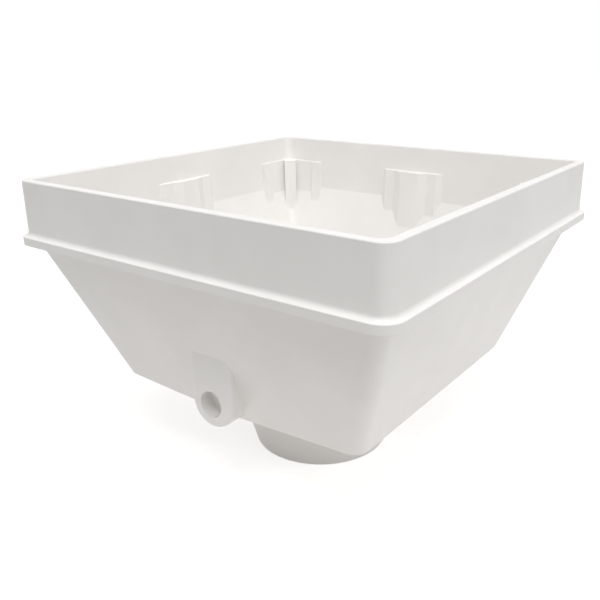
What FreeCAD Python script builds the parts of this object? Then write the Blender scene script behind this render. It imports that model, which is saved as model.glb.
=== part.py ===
"""Floor sink body: one injection-moulded PVC piece, open at the top and drained through a round outlet.

A square rim band stands on a thin flange. Below the flange a square hopper tapers to the floor, the floor
falls to a valley along the middle, and the outlet under it takes a 3 inch pipe in a socket. Inside, drafted
posts at the middle of each wall and in each corner carry a grate below the rim. A boss low on one side
takes the supply that keeps the trap full.

The frame has +Z up, with its origin at the middle of the outlet's lower end. The boss faces -Y.
"""
import FreeCAD
import Part
import math
import os

# Rim band and flange
RIM_WIDTH = 304.8
RIM_WALL = 6.7
RIM_ROUND = 1.0
BAND_HEIGHT = 39.9
BAND_CORNER = 10.0
BAND_INNER_CORNER = 6.0
BAND_INNER_DRAFT = 3.6
FLANGE_REACH = 4.0
FLANGE_THICKNESS = 6.3
FLANGE_ROUND = 0.6
LEDGE_ROUND = 3.2

# Hopper and floor
BODY_DEPTH = 152.4
HOPPER_INSET = 5.1
HOPPER_CORNER = 11.0
HOPPER_INNER_CORNER = 7.0
HOPPER_WALL = 4.0
FLOOR_WIDTH = 215.9
FLOOR_THICKNESS = 5.0
FLOOR_FALL = 6.1
FLOOR_ROUND = 1.0
FLOOR_INNER_ROUND = 5.0
VALLEY_ROUND = 60.0

# Outlet, with its socket for 3 inch pipe
OUTLET_LENGTH = 66.9
OUTLET_TOP_DIAMETER = 145.6
OUTLET_WALL = 10.0
OUTLET_ROUND = 0.8
PIPE_DIAMETER = 88.9
PIPE_WALL = 5.5
PIPE_CLEARANCE = 0.4
SOCKET_WALL = 8.6
SOCKET_DEPTH = 38.1
STOP_THICKNESS = 3.0

# Boss for the trap supply
BOSS_STAND = 13.2
BOSS_WIDTH = 35.0
BOSS_RISE = 11.2
BOSS_ROUND = 4.0
BOSS_HOLE_DIAMETER = 19.0
BOSS_HOLE_DEPTH = 11.0

# Grate supports
GRATE_DROP = 21.6
SUPPORT_DRAFT = 5.0
SUPPORT_ROUND = 0.8
PAD_WIDTH = 52.0
PAD_STAND = 2.9
PAD_FLARE = 4.0
RIB_STAND = 6.4
RIB_WIDTH = 17.5
RIB_FLARE = 8.0
CORNER_REACH = 42.0
CORNER_PAD_WIDTH = 9.0
CORNER_PAD_FLARE = 3.0
CORNER_WEB_STAND = 0.8
CORNER_RIB_WIDTH = 11.0
CORNER_RIB_DISTANCE = 13.0

# Levels, half widths and slopes that follow from the sizes above
FLOOR_Z = OUTLET_LENGTH
INNER_FLOOR_Z = FLOOR_Z + FLOOR_THICKNESS
RIM_Z = FLOOR_Z + BODY_DEPTH
LEDGE_Z = RIM_Z - BAND_HEIGHT
FLANGE_Z = LEDGE_Z - FLANGE_THICKNESS
GRATE_Z = RIM_Z - GRATE_DROP
BOSS_Z = FLOOR_Z + BOSS_RISE
RIM_HALF = RIM_WIDTH / 2
RIM_INNER_HALF = RIM_HALF - RIM_WALL
FLANGE_HALF = RIM_HALF + FLANGE_REACH
FLOOR_HALF = FLOOR_WIDTH / 2
HOPPER_SLOPE = (RIM_HALF - HOPPER_INSET - FLOOR_HALF) / (FLANGE_Z - FLOOR_Z)
HOPPER_WALL_ACROSS = HOPPER_WALL * math.sqrt(1 + HOPPER_SLOPE ** 2)
BAND_INNER_SLOPE = math.tan(math.radians(BAND_INNER_DRAFT))
SUPPORT_SLOPE = math.tan(math.radians(SUPPORT_DRAFT))
BOSS_FACE = FLOOR_HALF + HOPPER_SLOPE * BOSS_RISE + BOSS_STAND
OUTLET_TOP_RADIUS = OUTLET_TOP_DIAMETER / 2
SOCKET_RADIUS = (PIPE_DIAMETER + PIPE_CLEARANCE) / 2
OUTLET_END_RADIUS = SOCKET_RADIUS + SOCKET_WALL
WATERWAY_RADIUS = PIPE_DIAMETER / 2 - PIPE_WALL
STOP_Z = SOCKET_DEPTH + STOP_THICKNESS
THROAT_SLOPE = (OUTLET_TOP_RADIUS - OUTLET_WALL - WATERWAY_RADIUS) / (FLOOR_Z - STOP_Z)

# How far one solid runs into the next before they are joined or cut, and how near counts as the same place
OVERLAP = 2.0
SAME = 0.001


def hopper_half(z):
    """Half width of the hopper's outside at a level."""
    return FLOOR_HALF + HOPPER_SLOPE * (z - FLOOR_Z)


def hollow_half(z):
    """Half width of the hopper's inside at a level."""
    return hopper_half(z) - HOPPER_WALL_ACROSS


def band_inner_half(z):
    """Half width of the band's inside at a level: its draft narrows it downwards."""
    return RIM_INNER_HALF - BAND_INNER_SLOPE * (RIM_Z - z)


def flat_face(corners):
    """Flat face inside a closed run of corners."""
    return Part.Face(Part.makePolygon(corners + corners[:1]))


def flat_sided(low, low_z, high, high_z):
    """Solid between two anticlockwise outlines whose matching sides are parallel, so every side is flat."""
    bottom = [FreeCAD.Vector(x, y, low_z) for x, y in low]
    top = [FreeCAD.Vector(x, y, high_z) for x, y in high]
    faces = [flat_face(bottom[::-1]), flat_face(top)]
    for i in range(len(low)):
        faces.append(flat_face([bottom[i - 1], bottom[i], top[i], top[i - 1]]))
    return Part.Solid(Part.Shell(faces))


def square(half):
    """Plan outline of a square about the axis."""
    return [(half, half), (-half, half), (-half, -half), (half, -half)]


def upright_edges(shape):
    """Edges that run from one level to another."""
    return [edge for edge in shape.Edges if edge.BoundBox.ZLength > SAME]


def loop_edges(shape, z, half):
    """Edges of a square loop at a level: its straight runs and its rounded corners."""
    loop = []
    for edge in shape.Edges:
        box = edge.BoundBox
        reach = max(abs(box.XMin), abs(box.XMax), abs(box.YMin), abs(box.YMax))
        if abs(box.ZMin - z) < SAME and abs(box.ZMax - z) < SAME and abs(reach - half) < SAME:
            loop.append(edge)
    return loop


def foot_edges(shape, floor_z):
    """Edges where the walls meet a falling floor, without the edges of its valley."""
    feet = []
    for edge in shape.Edges:
        middle = edge.CenterOfMass
        if edge.BoundBox.ZMax < floor_z + SAME and math.hypot(middle.x, middle.y) > OUTLET_TOP_RADIUS:
            feet.append(edge)
    return feet


def square_block(low_half, low_z, high_half, high_z, corner):
    """Square block, straight or tapered, with its four upright edges rounded."""
    block = flat_sided(square(low_half), low_z, square(high_half), high_z)
    return block.makeFillet(corner, upright_edges(block))


def above_floor(edge_z):
    """Space over a floor that falls from two opposite walls to a rounded valley along Y."""
    reach = RIM_WIDTH
    top_z = RIM_Z + reach
    fall = math.atan(FLOOR_FALL / FLOOR_HALF)
    valley_z = edge_z - FLOOR_FALL
    side_z = valley_z + math.tan(fall) * reach
    round_x = VALLEY_ROUND * math.sin(fall)
    round_z = valley_z + math.tan(fall) * round_x
    bottom_z = valley_z + VALLEY_ROUND / math.cos(fall) - VALLEY_ROUND
    outline = [(round_x, round_z), (reach, side_z), (reach, top_z)]
    outline += [(-x, z) for x, z in outline[::-1]]
    corners = [FreeCAD.Vector(x, -reach, z) for x, z in outline]
    valley = Part.Arc(corners[-1], FreeCAD.Vector(0, -reach, bottom_z), corners[0]).toShape()
    face = Part.Face(Part.Wire([valley] + Part.makePolygon(corners).Edges))
    return face.extrude(FreeCAD.Vector(0, 2 * reach, 0))


def collar():
    """Rim band standing on the flange."""
    band = square_block(RIM_HALF, FLANGE_Z, RIM_HALF, RIM_Z, BAND_CORNER)
    flange = square_block(FLANGE_HALF, FLANGE_Z, FLANGE_HALF, LEDGE_Z, BAND_CORNER + FLANGE_REACH)
    both = band.fuse(flange).removeSplitter()
    both = both.makeFillet(RIM_ROUND, loop_edges(both, RIM_Z, RIM_HALF))
    both = both.makeFillet(LEDGE_ROUND, loop_edges(both, LEDGE_Z, RIM_HALF))
    both = both.makeFillet(FLANGE_ROUND, loop_edges(both, LEDGE_Z, FLANGE_HALF))
    return both.makeFillet(FLANGE_ROUND, loop_edges(both, FLANGE_Z, FLANGE_HALF))


def hopper():
    """Outside of the tapered hopper, closed below by the falling floor."""
    low_z = FLOOR_Z - FLOOR_FALL - OVERLAP
    high_z = FLANGE_Z + OVERLAP
    block = square_block(hopper_half(low_z), low_z, hopper_half(high_z), high_z, HOPPER_CORNER)
    block = block.common(above_floor(FLOOR_Z))
    return block.makeFillet(FLOOR_ROUND, foot_edges(block, FLOOR_Z))


def outlet():
    """Tapered outlet, run up into the floor."""
    cone = Part.makeCone(OUTLET_END_RADIUS, OUTLET_TOP_RADIUS, OUTLET_LENGTH)
    return cone.makeFillet(OUTLET_ROUND, loop_edges(cone, 0, OUTLET_END_RADIUS))


def boss():
    """Upright boss with a round foot, its top run into the sloping wall."""
    half = BOSS_WIDTH / 2
    depth = BOSS_FACE - hollow_half(BOSS_Z)
    wall_z = FLOOR_Z + (BOSS_FACE - FLOOR_HALF) / HOPPER_SLOPE
    height = wall_z + OVERLAP - BOSS_Z
    foot = Part.makeCylinder(half, depth, FreeCAD.Vector(0, -BOSS_FACE, BOSS_Z), FreeCAD.Vector(0, 1, 0))
    post = Part.makeBox(BOSS_WIDTH, depth, height, FreeCAD.Vector(-half, -BOSS_FACE, BOSS_Z))
    block = foot.fuse(post).removeSplitter()
    front = [edge for edge in block.Edges if abs(edge.BoundBox.YMax + BOSS_FACE) < SAME]
    sides = [edge for edge in front if edge.BoundBox.ZMin < wall_z]
    return block.makeFillet(BOSS_ROUND, sides)


def boss_hole():
    """Blind hole in the boss, left for tapping."""
    depth = BOSS_HOLE_DEPTH + OVERLAP
    start = FreeCAD.Vector(0, -BOSS_FACE - OVERLAP, BOSS_Z)
    return Part.makeCylinder(BOSS_HOLE_DIAMETER / 2, depth, start, FreeCAD.Vector(0, 1, 0))


def hollow():
    """Space inside the sink: drafted within the band, tapered within the hopper, closed by the floor."""
    low_z = INNER_FLOOR_Z - FLOOR_FALL - OVERLAP
    high_z = RIM_Z + OVERLAP
    in_band = square_block(band_inner_half(low_z), low_z, band_inner_half(high_z), high_z, BAND_INNER_CORNER)
    in_hopper = square_block(hollow_half(low_z), low_z, hollow_half(high_z), high_z, HOPPER_INNER_CORNER)
    space = in_hopper.common(above_floor(INNER_FLOOR_Z))
    return space.makeFillet(FLOOR_INNER_ROUND, foot_edges(space, INNER_FLOOR_Z)).common(in_band)


def drain():
    """Way down through the outlet: throat, waterway and pipe socket."""
    throat_height = INNER_FLOOR_Z + OVERLAP - STOP_Z
    throat_radius = WATERWAY_RADIUS + THROAT_SLOPE * throat_height
    throat = Part.makeCone(WATERWAY_RADIUS, throat_radius, throat_height, FreeCAD.Vector(0, 0, STOP_Z))
    waterway = Part.makeCylinder(WATERWAY_RADIUS, STOP_Z)
    socket = Part.makeCylinder(SOCKET_RADIUS, SOCKET_DEPTH + OVERLAP, FreeCAD.Vector(0, 0, -OVERLAP))
    return socket.fuse([waterway, throat])


def wall_post(z):
    """Plan outline at a level of the post in the middle of the +Y wall: a flared pad with a flared rib on it."""
    wall = band_inner_half(GRATE_Z)
    proud = SUPPORT_SLOPE * (GRATE_Z - z)
    pad = wall - PAD_STAND - proud
    rib = wall - RIB_STAND - proud
    half_pad = PAD_WIDTH / 2
    half_rib = RIB_WIDTH / 2
    half_back = half_pad + PAD_FLARE / PAD_STAND * (RIM_HALF - pad)
    side = [(half_back, RIM_HALF), (half_pad, pad), (half_rib + RIB_FLARE, pad), (half_rib, rib)]
    return [(-x, y) for x, y in side] + side[::-1]


def corner_post(z):
    """Plan outline at a level of the post in the +X +Y corner: two pads joined by webs to a diagonal rib."""
    wall = band_inner_half(GRATE_Z)
    proud = SUPPORT_SLOPE * (GRATE_Z - z)
    pad = wall - PAD_STAND - proud
    web = wall - CORNER_WEB_STAND - proud
    across = (CORNER_RIB_DISTANCE + proud) / math.sqrt(2)
    half_rib = CORNER_RIB_WIDTH / 2 / math.sqrt(2)
    near = wall - across + half_rib
    far = wall - across - half_rib
    pad_start = wall - CORNER_REACH
    pad_end = pad_start + CORNER_PAD_WIDTH
    half = [(RIM_HALF, pad_start), (pad, pad_start), (pad, pad_end), (web, pad_end + CORNER_PAD_FLARE)]
    half += [(web, far + web - near), (near, far)]
    return [(RIM_HALF, RIM_HALF)] + [(y, x) for x, y in half] + half[::-1]


def rounded_post(outline):
    """Post from a drafted outline, with the top edges that show inside the sink rounded."""
    post = flat_sided(outline(INNER_FLOOR_Z), INNER_FLOOR_Z, outline(GRATE_Z), GRATE_Z)
    showing = []
    for edge in post.Edges:
        box = edge.BoundBox
        at_back = box.XMin > RIM_HALF - SAME or box.YMin > RIM_HALF - SAME
        if box.ZMin > GRATE_Z - SAME and not at_back:
            showing.append(edge)
    return post.makeFillet(SUPPORT_ROUND, showing)


def posts():
    """Grate posts of all four walls and corners, left standing where the basin is hollowed out."""
    pieces = []
    for outline in (wall_post, corner_post):
        post = rounded_post(outline)
        for quarter in range(4):
            turned = post.copy()
            turned.rotate(FreeCAD.Vector(0, 0, 0), FreeCAD.Vector(0, 0, 1), 90 * quarter)
            pieces.append(turned)
    return pieces


def sink_body():
    """The whole moulding."""
    outside = collar().fuse([hopper(), outlet(), boss()])
    basin = hollow().cut(posts())
    body = outside.cut([basin, drain(), boss_hole()]).removeSplitter()
    return body.makeFillet(RIM_ROUND, loop_edges(body, RIM_Z, RIM_INNER_HALF))


os.makedirs("parts", exist_ok=True)
sink_body().exportStep("parts/sink_body.step")
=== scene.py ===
import bpy
import math
from mathutils import Matrix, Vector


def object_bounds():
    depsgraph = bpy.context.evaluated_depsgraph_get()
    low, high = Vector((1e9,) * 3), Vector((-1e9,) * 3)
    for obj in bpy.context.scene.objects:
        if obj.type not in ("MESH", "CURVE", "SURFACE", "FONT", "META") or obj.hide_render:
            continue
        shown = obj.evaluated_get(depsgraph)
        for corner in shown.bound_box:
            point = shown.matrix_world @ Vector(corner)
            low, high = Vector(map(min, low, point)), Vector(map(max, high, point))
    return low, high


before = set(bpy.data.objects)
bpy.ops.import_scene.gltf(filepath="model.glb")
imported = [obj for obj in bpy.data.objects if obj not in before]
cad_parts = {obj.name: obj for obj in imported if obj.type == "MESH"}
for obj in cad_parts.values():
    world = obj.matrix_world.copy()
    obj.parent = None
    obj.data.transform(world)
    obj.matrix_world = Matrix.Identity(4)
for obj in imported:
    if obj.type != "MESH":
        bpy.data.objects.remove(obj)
cad_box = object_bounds()


# Sink body: rim band, flange, hopper, floor, outlet, boss and grate posts in one piece.
# It is one shot of rigid white PVC, ejected from a steel mould with nothing painted on it,
# so one satin skin covers it, with faint clouding in the white and the fine grain of the mould.
PVC_SHADE = (0.898, 0.884, 0.861, 1)
PVC_WHITE = (0.925, 0.911, 0.888, 1)
PVC_ROUGHNESS_LOW = 0.34
PVC_ROUGHNESS_HIGH = 0.46
PVC_IOR = 1.53
CLOUDS_PER_METRE = 22
CLOUD_DETAIL = 3
CLOUD_LOW = 0.35
CLOUD_HIGH = 0.65
FLOW_PER_METRE = 140
FLOW_DETAIL = 4
FLOW_LOW = 0.3
FLOW_HIGH = 0.7
GRAIN_PER_METRE = 800
GRAIN_DETAIL = 2
GRAIN_DEPTH = 0.0001
GRAIN_STRENGTH = 0.4


def add_noise(tree, coordinates, scale, detail):
    """Noise texture on the piece's own coordinates."""
    noise = tree.nodes.new("ShaderNodeTexNoise")
    noise.inputs["Scale"].default_value = scale
    noise.inputs["Detail"].default_value = detail
    tree.links.new(coordinates.outputs["Object"], noise.inputs["Vector"])
    return noise


def white_pvc():
    """Satin white PVC straight from the mould."""
    material = bpy.data.materials.new("white_pvc")
    material.use_nodes = True
    tree = material.node_tree
    skin = tree.nodes["Principled BSDF"]
    skin.inputs["IOR"].default_value = PVC_IOR
    coordinates = tree.nodes.new("ShaderNodeTexCoord")

    clouds = add_noise(tree, coordinates, CLOUDS_PER_METRE, CLOUD_DETAIL)
    tint = tree.nodes.new("ShaderNodeValToRGB")
    tint.color_ramp.elements[0].position = CLOUD_LOW
    tint.color_ramp.elements[0].color = PVC_SHADE
    tint.color_ramp.elements[1].position = CLOUD_HIGH
    tint.color_ramp.elements[1].color = PVC_WHITE
    tree.links.new(clouds.outputs["Fac"], tint.inputs["Fac"])
    tree.links.new(tint.outputs["Color"], skin.inputs["Base Color"])

    flow = add_noise(tree, coordinates, FLOW_PER_METRE, FLOW_DETAIL)
    gloss = tree.nodes.new("ShaderNodeMapRange")
    gloss.inputs["From Min"].default_value = FLOW_LOW
    gloss.inputs["From Max"].default_value = FLOW_HIGH
    gloss.inputs["To Min"].default_value = PVC_ROUGHNESS_LOW
    gloss.inputs["To Max"].default_value = PVC_ROUGHNESS_HIGH
    tree.links.new(flow.outputs["Fac"], gloss.inputs["Value"])
    tree.links.new(gloss.outputs["Result"], skin.inputs["Roughness"])

    grain = add_noise(tree, coordinates, GRAIN_PER_METRE, GRAIN_DETAIL)
    bump = tree.nodes.new("ShaderNodeBump")
    bump.inputs["Strength"].default_value = GRAIN_STRENGTH
    bump.inputs["Distance"].default_value = GRAIN_DEPTH
    tree.links.new(grain.outputs["Fac"], bump.inputs["Height"])
    tree.links.new(bump.outputs["Normal"], skin.inputs["Normal"])
    return material


sink_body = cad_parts["sink_body"]
sink_body.data.materials.clear()
sink_body.data.materials.append(white_pvc())


# Ground: a round white paper sheet on a grey studio floor, level with the outlet's lower end.
# Both are matt. They are shown plain white away from the sink, like a studio backdrop,
# and near the sink less of that white is added, so that the soft shadow is seen.
GROUND_WIDTH = 12.0
PAPER_WHITE = (0.835, 0.82, 0.80, 1)
FLOOR_GREY = (0.20, 0.20, 0.20, 1)
SHEET_RADIUS = 0.30
WHITE_RADIUS = 0.70
SHADOW_GLOW = 0.57
WHITE_GLOW = 1.0


def is_seen(tree):
    """One for rays that look from the camera, in a reflection or through glass, else nought."""
    path = tree.nodes.new("ShaderNodeLightPath")
    seen = path.outputs["Is Camera Ray"]
    for name in ("Is Glossy Ray", "Is Transmission Ray"):
        either = tree.nodes.new("ShaderNodeMath")
        either.operation = "MAXIMUM"
        tree.links.new(seen, either.inputs[0])
        tree.links.new(path.outputs[name], either.inputs[1])
        seen = either.outputs["Value"]
    return seen


def white_sheet():
    """Matt white paper that ends on a grey floor, shown as white as the backdrop."""
    material = bpy.data.materials.new("white_sheet")
    material.use_nodes = True
    tree = material.node_tree
    paper = tree.nodes["Principled BSDF"]
    paper.inputs["Roughness"].default_value = 1.0
    paper.inputs["Specular IOR Level"].default_value = 0.0
    paper.inputs["Emission Color"].default_value = (1, 1, 1, 1)

    coordinates = tree.nodes.new("ShaderNodeTexCoord")
    radius = tree.nodes.new("ShaderNodeVectorMath")
    radius.operation = "LENGTH"
    tree.links.new(coordinates.outputs["Object"], radius.inputs[0])
    outward = tree.nodes.new("ShaderNodeMapRange")
    outward.inputs["From Min"].default_value = SHEET_RADIUS
    outward.inputs["From Max"].default_value = WHITE_RADIUS
    tree.links.new(radius.outputs["Value"], outward.inputs["Value"])
    colour = tree.nodes.new("ShaderNodeValToRGB")
    colour.color_ramp.elements[0].color = PAPER_WHITE
    colour.color_ramp.elements[1].color = FLOOR_GREY
    tree.links.new(outward.outputs["Result"], colour.inputs["Fac"])
    tree.links.new(colour.outputs["Color"], paper.inputs["Base Color"])

    white = tree.nodes.new("ShaderNodeMapRange")
    white.inputs["To Min"].default_value = SHADOW_GLOW
    white.inputs["To Max"].default_value = WHITE_GLOW
    tree.links.new(outward.outputs["Result"], white.inputs["Value"])
    glow = tree.nodes.new("ShaderNodeMath")
    glow.operation = "MULTIPLY"
    tree.links.new(is_seen(tree), glow.inputs[0])
    tree.links.new(white.outputs["Result"], glow.inputs[1])
    tree.links.new(glow.outputs["Value"], paper.inputs["Emission Strength"])
    return material


bpy.ops.object.select_all(action="DESELECT")
bpy.ops.mesh.primitive_plane_add(size=GROUND_WIDTH)
ground = bpy.context.object
ground.name = "ground"
ground.data.materials.append(white_sheet())


# Studio light: a wide soft box in the ceiling, one high in front and one low at the right, in the even
# light of a white room. The room is white where it is looked at, and dimmer as light, so the sides
# of the sink stay darker than its rim.
ROOM_LIGHT = 0.44
CEILING_POWER = 9.5
CEILING_SIZE = 2.4
CEILING_PLACE = (0.1, -0.1, 2.8)
HIGH_POWER = 31.5
HIGH_SIZE = 1.4
HIGH_PLACE = (0.6, -0.85, 2.5)
RIGHT_POWER = 3.6
RIGHT_SIZE = 0.9
RIGHT_PLACE = (1.48, 0.05, 0.8)


def add_soft_box(name, power, size, place):
    """Square soft box that faces the middle of the sink."""
    lamp = bpy.data.lights.new(name, "AREA")
    lamp.energy = power
    lamp.size = size
    soft_box = bpy.data.objects.new(name, lamp)
    soft_box.location = place
    towards = (cad_box[0] + cad_box[1]) / 2 - soft_box.location
    soft_box.rotation_euler = towards.to_track_quat("-Z", "Y").to_euler()
    bpy.context.scene.collection.objects.link(soft_box)


add_soft_box("ceiling_box", CEILING_POWER, CEILING_SIZE, CEILING_PLACE)
add_soft_box("high_box", HIGH_POWER, HIGH_SIZE, HIGH_PLACE)
add_soft_box("right_box", RIGHT_POWER, RIGHT_SIZE, RIGHT_PLACE)

room = bpy.data.worlds.new("white_room")
room.use_nodes = True
room_tree = room.node_tree
room_light = room_tree.nodes["Background"]
room_light.inputs["Color"].default_value = (1, 1, 1, 1)
brightness = room_tree.nodes.new("ShaderNodeMapRange")
brightness.inputs["To Min"].default_value = ROOM_LIGHT
brightness.inputs["To Max"].default_value = 1.0
room_tree.links.new(is_seen(room_tree), brightness.inputs["Value"])
room_tree.links.new(brightness.outputs["Result"], room_light.inputs["Strength"])
bpy.context.scene.world = room


# Camera: in front of the corner between the boss side and the plain side, a little above the rim.
# A small shift keeps the sink in the middle of the picture, and the lens suits its perspective.
CAMERA_PLACE = (0.31184, -0.42519, 0.30568)
CAMERA_TURN = math.radians(36.074)
CAMERA_DOWN = math.radians(17.722)
CAMERA_ROLL = math.radians(-0.456)
CAMERA_LENS = 42.44
CAMERA_SENSOR = 36.0
CAMERA_SHIFT = (-0.0367, -0.0433)

camera_data = bpy.data.cameras.new("camera")
camera_data.lens = CAMERA_LENS
camera_data.sensor_width = CAMERA_SENSOR
camera_data.shift_x, camera_data.shift_y = CAMERA_SHIFT
camera = bpy.data.objects.new("camera", camera_data)
turn = Matrix.Rotation(CAMERA_TURN, 4, "Z")
tip = Matrix.Rotation(math.pi / 2 - CAMERA_DOWN, 4, "X")
roll = Matrix.Rotation(CAMERA_ROLL, 4, "Z")
camera.matrix_world = Matrix.Translation(CAMERA_PLACE) @ turn @ tip @ roll
bpy.context.scene.collection.objects.link(camera)
bpy.context.scene.camera = camera
bpy.context.scene.view_settings.view_transform = "Standard"
